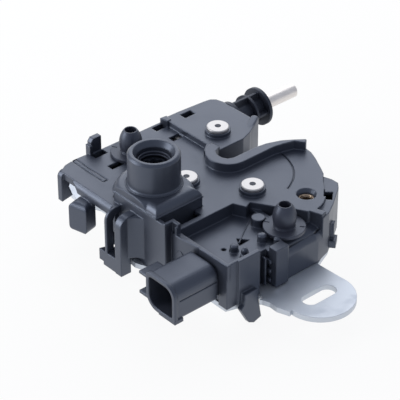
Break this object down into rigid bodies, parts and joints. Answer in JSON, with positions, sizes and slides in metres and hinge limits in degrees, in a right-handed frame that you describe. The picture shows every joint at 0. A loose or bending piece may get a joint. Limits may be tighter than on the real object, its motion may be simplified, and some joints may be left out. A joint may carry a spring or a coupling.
{
  "type": "hood latch",
  "caption": "Hood latch with a riveted steel base plate, moulded cover, rotary catch and pawl, safety hook, key tower, sprung lift plunger and plug connector.",
  "frame": {"origin": "the catch pivot on the mounting plane, the underside of the steel base plate", "axes": "+X across the car along the plate's longest way, +Y out of the striker mouth, +Z out of the cover towards the key tower"},
  "size_m": [0.1849, 0.179, 0.0689],
  "materials": {
    "zinc_steel": "zinc-plated pressed steel, satin",
    "housing": "moulded dark grey plastic, fine grain",
    "inner_plastic": "moulded black plastic",
    "forged_steel": "ground steel",
    "rivet_steel": "bright plated steel",
    "spring_steel": "bright drawn wire",
    "rod_steel": "turned and plated",
    "rubber_black": "moulded rubber",
    "brass": "turned brass"
  },
  "bodies": {
    "housing": {"base_plate": "zinc_steel", "cover": "housing", "key_tower": "housing", "key_seal": "rubber_black", "catch_spring": "spring_steel", "pawl_spring": "spring_steel", "safety_spring": "spring_steel", "plunger_spring": "spring_steel", "guide_bush": "inner_plastic", "rivet_catch": "rivet_steel", "rivet_pawl": "rivet_steel", "rivet_safety": "rivet_steel", "connector": "housing", "contact_pins": "brass", "microswitch": "inner_plastic", "thread_insert": "brass", "peg_left": "rubber_black", "peg_right": "rubber_black"},
    "catch": {"catch": "forged_steel", "catch_sleeve": "inner_plastic"},
    "pawl": {"pawl": "forged_steel", "release_lever": "inner_plastic"},
    "key": {"key_rotor": "inner_plastic", "key_insert": "forged_steel", "key_cam": "forged_steel"},
    "safety": {"safety_hook": "forged_steel"},
    "plunger": {"plunger": "rod_steel", "plunger_clip": "spring_steel"},
    "button": {"switch_button": "brass"}
  },
  "joints": [
    {"name": "catch_turn", "type": "hinge", "parent": "housing", "child": "catch", "pos_m": [0, 0, 0.0067], "axis": [0, 0, 1], "range_deg": [0, 36], "stiffness_Nm_per_rad": 0.05, "springref_deg": -17.19},
    {"name": "key_turn", "type": "hinge", "parent": "housing", "child": "key", "pos_m": [-0.027, -0.0435, 0.03], "axis": [0, 0, -1], "range_deg": [0, 44]},
    {"name": "pawl_turn", "type": "hinge", "parent": "housing", "child": "pawl", "pos_m": [-0.028, -0.021, 0.0065], "axis": [0, 0, 1], "range_deg": [0, 10.1]},
    {"name": "safety_turn", "type": "hinge", "parent": "housing", "child": "safety", "pos_m": [-0.05, 0.0205, 0.014], "axis": [0, 0, -1], "range_deg": [0, 60], "stiffness_Nm_per_rad": 0.05, "springref_deg": -17.19},
    {"name": "plunger_slide", "type": "slide", "parent": "housing", "child": "plunger", "axis": [0, -1, 0], "range_m": [0, 0.01], "stiffness_N_per_m": 2000, "springref_m": -0.004, "deforming": ["plunger_spring"]},
    {"name": "button_press", "type": "slide", "parent": "housing", "child": "button", "axis": [0, 1, 0], "range_m": [0, 0.001], "stiffness_N_per_m": 500, "springref_m": -0.001}
  ],
  "couplings": [
    {"joint": "pawl_turn", "follows": "key_turn", "ratio": 0.22727}
  ]
}
